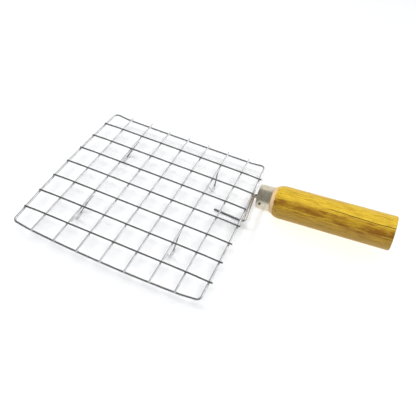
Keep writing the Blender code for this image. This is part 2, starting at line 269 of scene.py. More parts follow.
def frame_on_side(side, y):
    """Place on the left (-1) or right (1) side of the frame that has this y in the scene."""
    low, high = frame_place(frame_point(side, -1)).y, frame_place(frame_point(side, 1)).y
    return frame_place(frame_point(side, 2 * (y - low) / (high - low) - 1))


def frame_on_long_side(side, x):
    """Place on the near (-1) or far (1) side of the frame that has this x in the scene."""
    low, high = frame_place(frame_point(-1, side)).x, frame_place(frame_point(1, side)).x
    return frame_place(frame_point(2 * (x - low) / (high - low) - 1, side))


print("frame's right side at the middle:", rounded(frame_on_side(1, 0.0)))

# %% [markdown]
# ## The frame wire
#
# The wire's two ends are butt welded, so it is a closed loop. Its line is drawn on the square from
# -1 to 1, where the corners are plain quarter circles, and each point is then moved to its place.

# %% Frame wire
FRAME_CORNER_PART = 0.045       # part of a half side that a corner's arc takes
CORNER_STEPS = 12
SIDE_STEPS = 30


def frame_line():
    """Counter-clockwise, each corner followed by a side: far, left, near and right."""
    corner = 1 - FRAME_CORNER_PART
    square = []
    for quarter, (sign_x, sign_y) in enumerate(((1, 1), (-1, 1), (-1, -1), (1, -1))):
        for i in range(CORNER_STEPS + 1):
            angle = math.pi / 2 * (quarter + i / CORNER_STEPS)
            square.append((
                sign_x * corner + FRAME_CORNER_PART * math.cos(angle),
                sign_y * corner + FRAME_CORNER_PART * math.sin(angle),
            ))
        travel = -1 if quarter in (0, 1) else 1
        for i in range(1, SIDE_STEPS):
            step = travel * corner * (2 * i / SIDE_STEPS - 1)
            square.append((step, sign_y) if quarter in (0, 2) else (sign_x, step))
    return [frame_place(frame_point(across, along)) for across, along in square]


frame_wire = sweep_wire("frame_wire", frame_line(), FRAME_RADIUS, closed=True, roundness=6)
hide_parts("perimeter_frame")
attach(frame_wire, "root")
print("frame wire points:", len(frame_line()))

# %% [markdown]
# ## The mesh wires
#
# Drawn wire is straightened and cut before it is welded, and it is never perfectly straight. Each
# mesh wire is swept with a wander of about a tenth of a millimetre. The long wires lie on top and
# come down on the frame at both ends; the cross wires lie under them, on the frame's two sides.

# %% Long and cross wires
LONG_SWEEP = 14.0 * MM          # length over which a long wire comes down to the frame
LONG_STEPS = 60
CROSS_STEPS = 24
WIRE_WANDER = 0.12 * MM
WANDER_PER_METRE = 28.0


def wander(seed, along):
    """How far a wire is off its straight line there. Each seed is another wire."""
    return WIRE_WANDER * noise.noise(Vector((along * WANDER_PER_METRE, seed * 7.3, 0.5)))


def long_wire_line(node, seed):
    low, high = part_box(node)
    y = middle(node).y
    left, right = frame_on_side(-1, y).x, frame_on_side(1, y).x
    line = []
    for i in range(LONG_STEPS + 1):
        x = low.x + (high.x - low.x) * i / LONG_STEPS
        inwards = (min(x - left, right - x) - FRAME_RADIUS) / LONG_SWEEP
        z = LONG_END_Z + (LONG_Z - LONG_END_Z) * ease(inwards)
        line.append(Vector((x, y + wander(seed, x), z)))
    return line


def cross_wire_line(node, seed):
    low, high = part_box(node)
    x = middle(node).x
    return [
        Vector((x + wander(seed, y), y, CROSS_Z))
        for y in (low.y + (high.y - low.y) * i / CROSS_STEPS for i in range(CROSS_STEPS + 1))
    ]


mesh_wires = []
for seed, node in enumerate(LONG_WIRES + CROSS_WIRES):
    line = long_wire_line(node, seed) if node in LONG_WIRES else cross_wire_line(node, seed)
    wire = sweep_wire(node + "_drawn", line, MESH_RADIUS)
    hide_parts(node)
    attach(wire, "root")
    mesh_wires.append(wire)
print("mesh wires:", len(mesh_wires))

# %% [markdown]
# ## Bending a wire
#
# A bent wire is straight between its bends, and each bend is an arc round the bending tool. So a
# line is given as its sharp corners and a radius for each, and the arcs are worked out from them.

# %% Bending helper
def round_corners(corners, radii, steps=8):
    """A line through the corner points, with an arc of the given radius at each inner corner."""
    line = [corners[0]]
    for before, corner, after, radius in zip(corners, corners[1:], corners[2:], radii):
        back = (before - corner).normalized()
        ahead = (after - corner).normalized()
        half = back.angle(ahead) / 2
        centre = corner + (back + ahead).normalized() * (radius / math.sin(half))
        start = corner + back * (radius / math.tan(half)) - centre
        pivot = back.cross(start).normalized()
        turn = math.pi - 2 * half
        line += [centre + Matrix.Rotation(turn * i / steps, 3, pivot) @ start for i in range(steps + 1)]
    return line + [corners[-1]]


square_bend = [Vector((0, 0, 0)), Vector((1, 0, 0)), Vector((1, 1, 0))]
print("points in one square bend:", len(round_corners(square_bend, [0.3])))

# %% [markdown]
# ## The feet
#
# Each foot is one short wire bent to a V, with a straight tab at each end for the spot welds.
# The tabs lie under a cross wire and the V leans a little along the grill, as bent by hand. The
# lean is the way that the foot's box sticks out from the cross wire it hangs on.

# %% Feet
FOOT_TAB = 5.0 * MM
FOOT_BOTTOM_HALF = 3.6 * MM
FOOT_BEND_RADII = [1.6 * MM, 3.0 * MM, 3.0 * MM, 1.6 * MM]


def hanging_x(node):
    """The x of the cross wire that a foot hangs on."""
    return middle("cross_wire_2" if "left" in node else "cross_wire_6").x


def foot_line(node):
    low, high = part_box(node)
    hang_x = hanging_x(node)
    lean_left = hang_x - MESH_RADIUS - low.x
    lean_right = high.x - hang_x - MESH_RADIUS
    lean = lean_right if lean_right > lean_left else -lean_left
    y = middle(node).y
    half = size(node).y / 2
    top = high.z - MESH_RADIUS
    bottom = low.z + MESH_RADIUS
    corners = [
        Vector((hang_x, y - half, top)), Vector((hang_x, y - half + FOOT_TAB, top)),
        Vector((hang_x + lean, y - FOOT_BOTTOM_HALF, bottom)),
        Vector((hang_x + lean, y + FOOT_BOTTOM_HALF, bottom)),
        Vector((hang_x, y + half - FOOT_TAB, top)), Vector((hang_x, y + half, top)),
    ]
    return round_corners(corners, FOOT_BEND_RADII)


foot_wires = []
for node in FEET:
    foot = sweep_wire(node + "_wire", foot_line(node), MESH_RADIUS)
    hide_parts(node)
    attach(foot, "root")
    foot_wires.append(foot)
print("feet:", [f.name for f in foot_wires])

# %% [markdown]
# ## The handle's axis
#
# The handle's outer end is a flat face in the record, and its normal is the handle's axis. The
# ferrule's box is centred on the same axis. A frame with X along the axis and its zero at the
# ferrule's mouth lets every turned piece be written as distances along and away from the axis.

# %% Handle axis
END_FACE = next(m for m in frame["record"]["mounts"] if m["name"] == "handle_end_face")
AXIS = Vector(END_FACE["axis"]).normalized()
FERRULE_RADIUS = size("ferrule").y / 2
WOOD_RADIUS = size("wooden_handle").y / 2
TILT = math.atan2(AXIS.z, AXIS.x)
RIM_LOSS = 0.04 * MM            # the box stops at the ferrule's rounded rims
FERRULE_LENGTH = (size("ferrule").x - 2 * FERRULE_RADIUS * math.sin(TILT)) / math.cos(TILT) + RIM_LOSS
MOUTH = middle("ferrule") - AXIS * FERRULE_LENGTH / 2
END = Vector(END_FACE["pos_m"])
END.y = MOUTH.y
HANDLE_LENGTH = (END - MOUTH).dot(AXIS)
HANDLE_FRAME = Matrix.Translation(MOUTH) @ Matrix.Rotation(-TILT, 4, "Y")
print("tilt", round(math.degrees(TILT), 2), "ferrule and handle", rounded((FERRULE_LENGTH, HANDLE_LENGTH), 5))

# %% [markdown]
# ## The shank
#
# One thick wire carries the handle. Its straight leg is welded under the last cross wire and the
# frame, it turns along the frame's side, and a tight bend takes it on to the handle's axis. Its
# line is a few corners rounded with arcs, and it runs on into the bore of the wood.

# %% Shank
SHANK_CORNER = Vector((MESH_MIDDLE.x + 82.0 * MM, 8.6 * MM))
SHANK_BEND_X = MESH_MIDDLE.x + 79.0 * MM
SHANK_LEG_Y = 8.9 * MM
SHANK_BEND_RADII = [3.8 * MM, 2.0 * MM, 3.0 * MM]
SHANK_BEND_STEPS = 14
STUB = 0.2 * MM                 # straight bit before the ferrule's mouth
TANG_LENGTH = 20.0 * MM         # how far the wire is carried into the wood

leg_end_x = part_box("handle_shank")[0].x
bend_z = FRAME_HIGH_Z - FRAME_RADIUS - SHANK_RADIUS - TOUCH_GAP
leg_z = CROSS_Z - MESH_RADIUS - SHANK_RADIUS - TOUCH_GAP
cross_x = middle("cross_wire_7").x
leg_frame = frame_on_side(1, SHANK_LEG_Y)
leg_slope = (bend_z - leg_z) / (leg_frame.x - cross_x)
shank_corners = [
    Vector((leg_end_x, SHANK_LEG_Y, leg_z + leg_slope * (leg_end_x - cross_x))),
    Vector((*SHANK_CORNER, bend_z)),
    Vector((SHANK_BEND_X, MOUTH.y, bend_z)),
    MOUTH - AXIS * STUB,
    MOUTH + AXIS * TANG_LENGTH,
]
shank_line = round_corners(shank_corners, SHANK_BEND_RADII, SHANK_BEND_STEPS)
shank = sweep_wire("shank_wire", shank_line, SHANK_RADIUS, roundness=8)
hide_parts("handle_shank")
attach(shank, "root")
print("shank corners:", [rounded(corner) for corner in shank_corners])

# %% [markdown]
# ## The welds
#
# Where two wires cross they are pressed together and fused by a spot weld, which squeezes a small
# low collar of metal out round the contact. Each is a flattened ball between the two wires, a
# little uneven, and all welds of one kind are joined into one piece.

# %% Welds
WELD_REACH = 1.15               # as a part of the wire's radius
WELD_STRETCH = 1.1              # along X
WELD_HALF_HEIGHT = 0.55 * MM
WELD_ROUGHNESS = 0.16
WELD_TWIST = 0.3                # radians, either way
TAB_WELD_PART = 0.45            # of a foot's tab, from its end


def weld_piece(name, spots):
    """One piece of flattened balls. Spots are (place, reach in x, reach in y, half height)."""
    shape = bmesh.new()
    for place, reach_x, reach_y, half in spots:
        ball = bmesh.ops.create_uvsphere(shape, u_segments=16, v_segments=10, radius=1.0)["verts"]
        shift = random.random() * 20
        for vert in ball:
            rough = 1.0 + WELD_ROUGHNESS * noise.noise(vert.co * 1.7 + Vector((shift, 0, 0)))
            vert.co = Vector((vert.co.x * reach_x, vert.co.y * reach_y, vert.co.z * half)) * rough
        twist = Matrix.Rotation(random.uniform(-WELD_TWIST, WELD_TWIST), 3, "Z")
        bmesh.ops.rotate(shape, verts=ball, matrix=twist)
        bmesh.ops.translate(shape, verts=ball, vec=place)
    welds = link_mesh(name, shape, 80)
    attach(welds, "root")
    return welds


def weld_between(x, y, upper_z, lower_z):
    """The spot weld between the upper wire's underside and the lower wire's top."""
    reach = MESH_RADIUS * WELD_REACH * random.uniform(0.92, 1.12)
    return (Vector((x, y, (upper_z + lower_z) / 2)), reach * WELD_STRETCH, reach, WELD_HALF_HEIGHT)


long_ys = [middle(node).y for node in LONG_WIRES]
cross_xs = [middle(node).x for node in CROSS_WIRES]
mesh_spots = [
    weld_between(x, y, LONG_Z - MESH_RADIUS, CROSS_Z + MESH_RADIUS) for x in cross_xs for y in long_ys
]
frame_spots = []
for side in (-1, 1):
    for y in long_ys:
        place = frame_on_side(side, y)
        frame_spots.append(weld_between(place.x, y, LONG_END_Z - MESH_RADIUS, place.z + FRAME_RADIUS))
    for x in cross_xs:
        place = frame_on_long_side(side, x)
        frame_spots.append(weld_between(x, place.y, CROSS_Z - MESH_RADIUS, place.z + FRAME_RADIUS))
tab_spots = []
for node in FEET:
    low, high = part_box(node)
    for y in (low.y + FOOT_TAB * TAB_WELD_PART, high.y - FOOT_TAB * TAB_WELD_PART):
        place = Vector((hanging_x(node), y, CROSS_Z - MESH_RADIUS - TOUCH_GAP / 2))
        tab_spots.append((place, 0.75 * MM, 1.7 * MM, 0.5 * MM))
print("spot welds on mesh, frame and feet:", [len(spots) for spots in (mesh_spots, frame_spots, tab_spots)])

# %% [markdown]
# The shank is welded by hand, with bigger uneven blobs: where its leg passes under the last cross
# wire and under the frame, where it runs along the frame, and a spill of metal at each bend.

# %% Shank's welds
bend_frame = frame_on_side(1, MOUTH.y - 1.5 * MM)
under_frame = Vector((0, 0, FRAME_RADIUS + TOUCH_GAP / 2))
under_cross_wire = Vector((cross_x, SHANK_LEG_Y, CROSS_Z - MESH_RADIUS - 0.2 * MM))
along_frame = bend_frame - under_frame + Vector((0.5, 0, 0)) * MM
on_bend = Vector((bend_frame.x + 3.4 * MM, MOUTH.y, bend_z + 0.7 * MM))
on_corner = Vector((*SHANK_CORNER, bend_z)) + Vector((-2.0, 1.2, 1.0)) * MM
shank_spots = [
    (under_cross_wire, 1.25 * MM, 1.5 * MM, 0.75 * MM),
    (leg_frame - under_frame, 1.5 * MM, 1.6 * MM, 0.8 * MM),
    (along_frame, 1.5 * MM, 2.6 * MM, 0.9 * MM),
    (on_bend, 1.7 * MM, 1.9 * MM, 1.6 * MM),
    (on_corner, 1.1 * MM, 1.3 * MM, 0.9 * MM),
]
welds = [
    weld_piece("mesh_welds", mesh_spots),
    weld_piece("frame_welds", frame_spots),
    weld_piece("foot_welds", tab_spots),
    weld_piece("shank_welds", shank_spots),
]
print("weld pieces:", [piece.name for piece in welds])

# %% [markdown]
# ## Turned pieces
#
# The ferrule and the handle are round about one axis. Both could be made with a Screw modifier,
# but rings of vertices in code let the surface be uneven as well: a small out-of-round, tool
# marks, a dent or a crack are only changes of the radius at some angle and distance.

# %% Turning helper
def turn_piece(profile, angles, surface, closed=False):
    """A ring of vertices at each (distance along X, radius) of the profile.

    surface(ring number, distance, radius, angle) gives the vertex's own distance, radius and angle.
    """
    shape = bmesh.new()
    rings = []
    for i, (ring_along, ring_radius) in enumerate(profile):
        ring = []
        for ring_angle in angles:
            along, radius, angle = surface(i, ring_along, ring_radius, ring_angle)
            ring.append(shape.verts.new((along, radius * math.cos(angle), radius * math.sin(angle))))
        rings.append(ring)
    pairs = list(zip(rings, rings[1:]))
    if closed:
        pairs.append((rings[-1], rings[0]))
    count = len(angles)
    for first, second in pairs:
        for i in range(count):
            j = (i + 1) % count
            shape.faces.new((first[i], first[j], second[j], second[i]))
    if not closed:
        shape.faces.new(rings[0])
        shape.faces.new(list(reversed(rings[-1])))
    return shape


def even_angles(count):
    return [2 * math.pi * i / count for i in range(count)]


def turn_difference(angle, other):
    """The angle between two directions round the axis, from minus to plus half a turn."""
    return math.atan2(math.sin(angle - other), math.cos(angle - other))


def settle(piece):
    """Move the mesh to the handle's axis. Each vertex remembers its turned place for the finish."""
    place = piece.data.attributes.new("turned_place", "FLOAT_VECTOR", "POINT")
    place.data.foreach_set("vector", [value for vert in piece.data.vertices for value in vert.co])
    piece.data.transform(HANDLE_FRAME)


print("handle frame starts at", rounded(HANDLE_FRAME.translation))

# %% [markdown]
# ## The ferrule
#
# A short sleeve of thin zinc-plated sheet, rolled to a tube and pressed over the wood. Its mouth is
# drawn in a little and its rim is rounded. The rolled sheet leaves a lap seam along it, and the
# press leaves shallow dents, which a smooth bought tube would not have.

# %% Ferrule
FERRULE_WALL = 0.9 * MM
RIM_ROUND = 0.35 * MM
MOUTH_DRAW = 0.4 * MM           # how much the mouth is narrower in radius
MOUTH_LENGTH = 2.8 * MM         # over which it widens to the full radius
STRAIGHT_START = 3.2 * MM
STRAIGHT_SPARE = 3.5 * MM       # of the length, that the straight part leaves to the two ends

ferrule_profile = []
for i in range(5):
    roll_angle = math.pi / 2 * i / 4
    ferrule_profile.append((
        RIM_ROUND * (1 - math.sin(roll_angle)),
        FERRULE_RADIUS - MOUTH_DRAW - RIM_ROUND * (1 - math.cos(roll_angle)),
    ))
ferrule_profile.reverse()
for i in range(1, 9):
    part = i / 8
    ferrule_profile.append((RIM_ROUND + MOUTH_LENGTH * part, FERRULE_RADIUS - MOUTH_DRAW * (1 - ease(part))))
straight_length = FERRULE_LENGTH - STRAIGHT_SPARE
ferrule_profile += [(STRAIGHT_START + straight_length * i / 16, FERRULE_RADIUS) for i in range(1, 17)]
ferrule_profile += [
    (FERRULE_LENGTH - 0.12 * MM, FERRULE_RADIUS - 0.05 * MM),
    (FERRULE_LENGTH, FERRULE_RADIUS - 0.25 * MM),
    (FERRULE_LENGTH, FERRULE_RADIUS - FERRULE_WALL),
    (3.0 * MM, FERRULE_RADIUS - FERRULE_WALL),
    (0.2 * MM, FERRULE_RADIUS - MOUTH_DRAW - FERRULE_WALL),
]
OUTER_RINGS = len(ferrule_profile) - 3
print("ferrule rings:", len(ferrule_profile), "of which outside:", OUTER_RINGS)

# %% [markdown]
# The outside gets three kinds of unevenness, each a small loss of radius: the lap seam along the
# sheet, shallow dents that follow a noise, and the dimple that the nail's head was driven into.

# %% Ferrule's surface
SEAM_ANGLE = math.radians(300)
SEAM_HALF_WIDTH = 0.35 * MM
NAIL_ANGLE = math.radians(171)
NAIL_ALONG = 3.8 * MM
DIMPLE_REACH = 1.5 * MM
GROOVE_DEPTH = 0.22 * MM        # of the seam and of the dimple
DENT_DEPTH = 0.16 * MM
DENTS_ALONG = 260               # noise steps per metre along the axis
DENTS_AROUND = 2.2


def ferrule_surface(i, along, radius, angle):
    if i >= OUTER_RINGS:
        return along, radius, angle
    seam = math.exp(-(turn_difference(angle, SEAM_ANGLE) * radius / SEAM_HALF_WIDTH) ** 2)
    spot = Vector((along * DENTS_ALONG, DENTS_AROUND * math.cos(angle), DENTS_AROUND * math.sin(angle)))
    dent = DENT_DEPTH * max(0.0, noise.noise(spot) - 0.05)
    around = turn_difference(angle, NAIL_ANGLE) * radius
    dimple = math.exp(-(around ** 2 + (along - NAIL_ALONG) ** 2) / DIMPLE_REACH ** 2)
    return along, radius - GROOVE_DEPTH * (seam + dimple) - dent, angle


sleeve = turn_piece(ferrule_profile, even_angles(128), ferrule_surface, closed=True)
ferrule = link_mesh("ferrule_sleeve", sleeve, 50)
settle(ferrule)
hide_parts("ferrule")
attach(ferrule, "root")
print("ferrule vertices:", len(ferrule.data.vertices))

# %% [markdown]
# ## The nail
#
# A small nail holds the ferrule on the wood. Only its head shows, a little sunk in the dimple. Its
# shape in the mechanical model is fine enough, so it is kept and gets a dark finish further on.

# %% Nail
nail = frame["nodes"]["ferrule_nail"]
print("nail faces:", len(nail.data.polygons))

# %% [markdown]
# ## The wooden handle
#
# The handle is turned from a light wood. Next to the ferrule it has a narrow bare chamfer, then a
# rounded shoulder and a nearly straight grip, cut off flat with a slightly broken edge. Its profile
# starts in the bore for the shank, goes round the spigot inside the ferrule and ends at the axis.

# %% Profile of the wood
BORE_SEEN = 7.0 * MM
BORE_RADIUS = 1.9 * MM
SPIGOT_START = 1.0 * MM
SPIGOT_RADIUS = 9.15 * MM
SPIGOT_EDGE = 0.4 * MM
CHAMFER_START = FERRULE_LENGTH + TOUCH_GAP
CHAMFER_LENGTH = 3.2 * MM
CHAMFER_INNER = 11.1 * MM
CHAMFER_OUTER = 12.9 * MM
SHOULDER_LENGTH = 6.4 * MM
END_BREAK = 0.7 * MM
END_RINGS = (0.9, 0.8, 0.6, 0.4, 0.2, 0.05)     # as parts of the radius

shoulder_start = CHAMFER_START + CHAMFER_LENGTH
grip_start = shoulder_start + SHOULDER_LENGTH
wood_profile = [
    (BORE_SEEN, BORE_RADIUS - 0.1 * MM),
    (SPIGOT_START + 0.2 * MM, BORE_RADIUS),
    (SPIGOT_START, BORE_RADIUS + 0.3 * MM),
    (SPIGOT_START, SPIGOT_RADIUS - 0.35 * MM),
    (SPIGOT_START + SPIGOT_EDGE, SPIGOT_RADIUS),
    (CHAMFER_START, SPIGOT_RADIUS),
    (CHAMFER_START, CHAMFER_INNER - 0.3 * MM),
]
chamfer_rise = CHAMFER_OUTER - CHAMFER_INNER
wood_profile += [
    (CHAMFER_START + CHAMFER_LENGTH * i / 6, CHAMFER_INNER + chamfer_rise * i / 6) for i in range(7)
]
for i in range(1, 15):
    angle = math.pi / 2 * i / 14
    wood_profile.append((
        shoulder_start + SHOULDER_LENGTH * (1 - math.cos(angle)) ** 0.8,
        CHAMFER_OUTER + (WOOD_RADIUS - CHAMFER_OUTER) * math.sin(angle) ** 1.2,
    ))
grip_length = HANDLE_LENGTH - END_BREAK - grip_start
wood_profile += [(grip_start + grip_length * i / 90, WOOD_RADIUS) for i in range(1, 91)]
for i in range(1, 6):
    angle = math.pi / 2 * i / 5
    wood_profile.append((
        HANDLE_LENGTH - END_BREAK * (1 - math.sin(angle)),
        WOOD_RADIUS - END_BREAK * (1 - math.cos(angle)),
    ))
wood_profile += [(HANDLE_LENGTH, WOOD_RADIUS * part) for part in END_RINGS]
print("rings along the wood:", len(wood_profile))

# %% [markdown]
# One drying crack runs along the grain to the outer end. Vertices are drawn together near it, so
# that a narrow groove can be cut into the real shape without a very dense mesh.

# %% The crack's course
CRACK_ANGLE = math.radians(118)
CRACK_SWAY = math.radians(2.2)
CRACK_START = 0.42              # as a part of the handle's length
CRACK_OPENS_OVER = 0.25         # as a part of the handle's length
CRACK_HALF_WIDTH = 0.17 * MM
CLOSE_STEPS = (-3, -2, -1.4, -0.9, -0.45, 0, 0.45, 0.9, 1.4, 2, 3)      # in half widths


def crack_angle_at(along):
    part = along / HANDLE_LENGTH
    wobble = 0.02 * noise.noise(Vector((part * 14, 3.1, 0)))
    return CRACK_ANGLE + CRACK_SWAY * math.sin(part * 9.0) + wobble


def crack_opening(along):
    return ease((along / HANDLE_LENGTH - CRACK_START) / CRACK_OPENS_OVER)


def wood_angles():
    """Even angles, with extra ones close to the crack."""
    close = [CRACK_HALF_WIDTH / WOOD_RADIUS * step for step in CLOSE_STEPS]
    extra = [CRACK_ANGLE + offset for offset in close]
    even = [a for a in even_angles(160) if abs(turn_difference(a, CRACK_ANGLE)) > close[-1] * 1.2]
    return sorted(even + extra)


print("vertices in a ring of the wood:", len(wood_angles()))

# %% [markdown]
# Wood that was turned by hand is a little uneven all over and keeps fine tool marks. Both and the
# crack are losses of radius, as on the ferrule, and they fade out towards the middle of the end.

# %% Wooden handle
CRACK_DEPTH = 0.45 * MM
CRACK_PULL = 0.25               # radians round the crack in which vertices follow its course
UNEVEN_DEPTH = 0.10 * MM
TOOL_MARK_DEPTH = 0.02 * MM
TOOL_MARKS_PER_METRE = 2900 / (2 * math.pi)


def wood_surface(i, along, radius, angle):
    if radius < CHAMFER_INNER and along < shoulder_start:
        return along, radius, angle
    near_crack = turn_difference(angle, CRACK_ANGLE)
    angle += (crack_angle_at(along) - CRACK_ANGLE) * math.exp(-(near_crack / CRACK_PULL) ** 2)
    skin = Vector((along * 40, 1.6 * math.cos(angle), 1.6 * math.sin(angle)))
    uneven = UNEVEN_DEPTH * (noise.noise(skin) - 0.6)
    tool_mark = TOOL_MARK_DEPTH * (math.sin(along * TOOL_MARKS_PER_METRE * 2 * math.pi) - 1.0)
    opening = crack_opening(along) * (0.75 + 0.25 * math.sin(along / HANDLE_LENGTH * 37))
    across = near_crack * WOOD_RADIUS / CRACK_HALF_WIDTH
    groove = CRACK_DEPTH * opening * math.exp(-across * across) * min(1.0, radius / WOOD_RADIUS * 1.05)
    return along, radius + (uneven + tool_mark) * min(1.0, radius / CHAMFER_OUTER) - groove, angle


wood = link_mesh("turned_handle", turn_piece(wood_profile, wood_angles(), wood_surface), 48)
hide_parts("wooden_handle")
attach(wood, "root")
print("handle vertices:", len(wood.data.vertices))

# %% [markdown]
# ## Marking the crack for the finish
#
# The finish needs to know where the crack is, to paint shade into it. A value for each vertex is
# written as an attribute, which any material can read and which moves with the mesh.

# %% Crack attribute
crack_mark = wood.data.attributes.new("crack", "FLOAT", "POINT")
for vert in wood.data.vertices:
    angle = math.atan2(vert.co.z, vert.co.y)
    across = turn_difference(angle, crack_angle_at(vert.co.x)) * WOOD_RADIUS / CRACK_HALF_WIDTH
    on_skin = vert.co.yz.length > WOOD_RADIUS * 0.5
    # How much painted shade each vertex near the crack gets, more where the crack is open.
    crack_shade_amount = crack_opening(vert.co.x) * math.exp(-0.6 * across * across) * on_skin
    crack_mark.data[vert.index].value = crack_shade_amount
settle(wood)
print("cracked vertices:", sum(1 for d in crack_mark.data if d.value > 0.3))

# %% [markdown]
# ## Building a finish
#
# A finish is a small network of shader nodes. A few helpers keep the cells short: each makes one
# kind of node, fills its sockets with numbers or links, and gives back the output used next.

# %% Finish helpers
def new_finish(name, **settings):
    """A material whose Principled shader has these values on its own sockets."""
    material = bpy.data.materials.new(name)
    material.use_nodes = True
    tree = material.node_tree
    shader = tree.nodes["Principled BSDF"]
    for socket, value in settings.items():
        shader.inputs[socket.replace("_", " ")].default_value = value
    return material, tree, shader


def put(tree, kind, sockets=(), **settings):
    """Add a node. Sockets are given by name or number, each as a value or as a socket to link."""
    node = tree.nodes.new(kind)
    for key, value in settings.items():
        setattr(node, key, value)
    for key, value in dict(sockets).items():
        target = node.inputs[key]
        if isinstance(value, bpy.types.NodeSocket):
            tree.links.new(value, target)
        else:
            target.default_value = value
    return node


def mix(tree, factor, first, second, blend="MIX"):
    """Colour between the first (factor 0) and the second (factor 1)."""
    sockets = {0: factor, 6: first, 7: second}      # the node's colour sockets are 6 and 7
    return put(tree, "ShaderNodeMix", sockets, data_type="RGBA", blend_type=blend).outputs[2]


def ramp(tree, value, stops):
    """A colour ramp through (position, colour) stops; a plain number stands for a grey."""
    node = tree.nodes.new("ShaderNodeValToRGB")
    tree.links.new(value, node.inputs[0])
    while len(node.color_ramp.elements) < len(stops):
        node.color_ramp.elements.new(0.5)
    for element, (position, colour) in zip(node.color_ramp.elements, stops):
        element.position = position
        element.color = (colour, colour, colour, 1) if isinstance(colour, (int, float)) else (*colour, 1)
    return node.outputs[0]


def maths(tree, operation, first, second=0.0, clamp=False):
    """The result of a sum on two values or sockets."""
    return put(tree, "ShaderNodeMath", {0: first, 1: second}, operation=operation, use_clamp=clamp).outputs[0]


print("node helpers:", [helper.__name__ for helper in (new_finish, put, mix, ramp, maths)])

# %% [markdown]
# ## Places and noise
#
# Detail that lies along a wire or round a ferrule comes from a noise that is stretched. The noise
# itself has no direction, so the place that it is read at is scaled: less along the grain.

# %% Place and noise helpers
def in_millimetres(tree, place, scale):
    stretch = tuple(s / MM for s in scale)
    return put(tree, "ShaderNodeMapping", {"Vector": place, "Scale": stretch}).outputs[0]


def object_place(tree, scale=(1, 1, 1)):
    """Places on the object in millimetres, times a scale: below 1 stretches a noise that way."""
    return in_millimetres(tree, put(tree, "ShaderNodeTexCoord").outputs["Object"], scale)


def turned_place(tree, scale=(1, 1, 1)):
    """The same for a turned piece: X runs along its axis."""
    remembered = put(tree, "ShaderNodeAttribute", attribute_name="turned_place")
    return in_millimetres(tree, remembered.outputs["Vector"], scale)


def speckle(tree, place, scale, detail=3.0, roughness=0.55, distortion=0.0):
    """Noise from 0 to 1 with this many grains per millimetre."""
    return put(tree, "ShaderNodeTexNoise", {
        "Vector": place, "Scale": scale, "Detail": detail, "Roughness": roughness, "Distortion": distortion,
    }).outputs["Fac"]


print("place helpers:", [helper.__name__ for helper in (object_place, turned_place, speckle)])

# %% [markdown]
# ## Wearing a finish
#
# Every finish drives colour, roughness and a slight relief from the same noises, because on a real
# surface a duller spot is also rougher and a little higher or lower. One helper links all three.

# %% Wearing helpers
def set_shader(tree, shader, colour, rough, relief, strength, depth):
    """Link a colour, a roughness and a bump from a relief to the material's shader."""
    tree.links.new(colour, shader.inputs["Base Color"])
    tree.links.new(rough, shader.inputs["Roughness"])
    bump = put(tree, "ShaderNodeBump", {"Strength": strength, "Distance": depth, "Height": relief})
    tree.links.new(bump.outputs[0], shader.inputs["Normal"])


def wear_finish(material, pieces):
    for piece in pieces:
        piece.data.materials.clear()
        piece.data.materials.append(material)


print("wearing helpers:", set_shader.__name__, wear_finish.__name__)

# %% [markdown]
# ## Plated wire
#
# The wires are steel with a thin bright plating. Drawing leaves fine lines along a wire, and the
# plating is cloudy in places, so colour and roughness both follow noise that is stretched along
# the wire's run, along X or along Y. The long wires get darker, greyer colours of the same plating,
# which is painted shade.

# %% Plated wire finish
def plated_wire(name, stretch, bright, dull):
    material, tree, shader = new_finish(name, Metallic=1.0)
    drawn = speckle(tree, object_place(tree, stretch), 1.6, 4.0, 0.6)
    cloud = speckle(tree, object_place(tree), 0.16, 3.0)
    tone = maths(tree, "ADD", maths(tree, "MULTIPLY", drawn, 0.6), maths(tree, "MULTIPLY", cloud, 0.5))
    colour = ramp(tree, tone, [(0.38, dull), (0.62, bright)])
    rough = ramp(tree, tone, [(0.35, 0.34), (0.7, 0.17)])
    set_shader(tree, shader, colour, rough, drawn, 0.25, 0.04 * MM)
    return material


BRIGHT, DULL = (0.76, 0.77, 0.79), (0.54, 0.55, 0.58)
# Darker copies of the same two colours for the long wires: painted shade.
SHADED_BRIGHT, SHADED_DULL = (0.46, 0.47, 0.48), (0.30, 0.31, 0.32)
wire_along_x = plated_wire("plated_wire_along_x", (0.06, 1.0, 1.0), SHADED_BRIGHT, SHADED_DULL)
wire_along_y = plated_wire("plated_wire_along_y", (1.0, 0.06, 1.0), BRIGHT, DULL)
bent_wire = plated_wire("plated_wire_bent", (0.4, 0.4, 0.4), BRIGHT, DULL)
wear_finish(wire_along_x, mesh_wires[:len(LONG_WIRES)])
wear_finish(wire_along_y, mesh_wires[len(LONG_WIRES):])
wear_finish(bent_wire, [frame_wire, shank] + foot_wires)
print("wire finishes:", [m.name for m in (wire_along_x, wire_along_y, bent_wire)])

# %% [markdown]
# ## Weld metal
#
# A spot weld burns the plating a little, so its collar is duller and rougher than the wire and
# has a faint straw tint in places.

# %% Weld finish
STEEL_GREY, SCALE_GREY, STRAW = (0.42, 0.43, 0.45), (0.36, 0.35, 0.33), (0.44, 0.39, 0.30)
weld_metal, tree, shader = new_finish("weld_metal", Metallic=0.55)
heat = speckle(tree, object_place(tree), 0.05, 2.0)
grit = speckle(tree, object_place(tree), 2.2, 3.0)
tint = ramp(tree, heat, [(0.40, STEEL_GREY), (0.52, SCALE_GREY), (0.66, STRAW)])
colour = mix(tree, grit, tint, (0.80, 0.80, 0.80, 1))
rough = ramp(tree, grit, [(0.3, 0.32), (0.7, 0.55)])
set_shader(tree, shader, colour, rough, grit, 0.5, 0.08 * MM)
wear_finish(weld_metal, welds)
print("weld finish nodes:", len(tree.nodes))

# %% [markdown]
# ## Zinc-plated ferrule
#
# Thin plated sheet looks satin, a little yellow-green, with soft cloudy patches and fine marks
# round it from rolling. The marks are noise in the remembered turned place, where X is the axis:
# fine along X and wide across it.

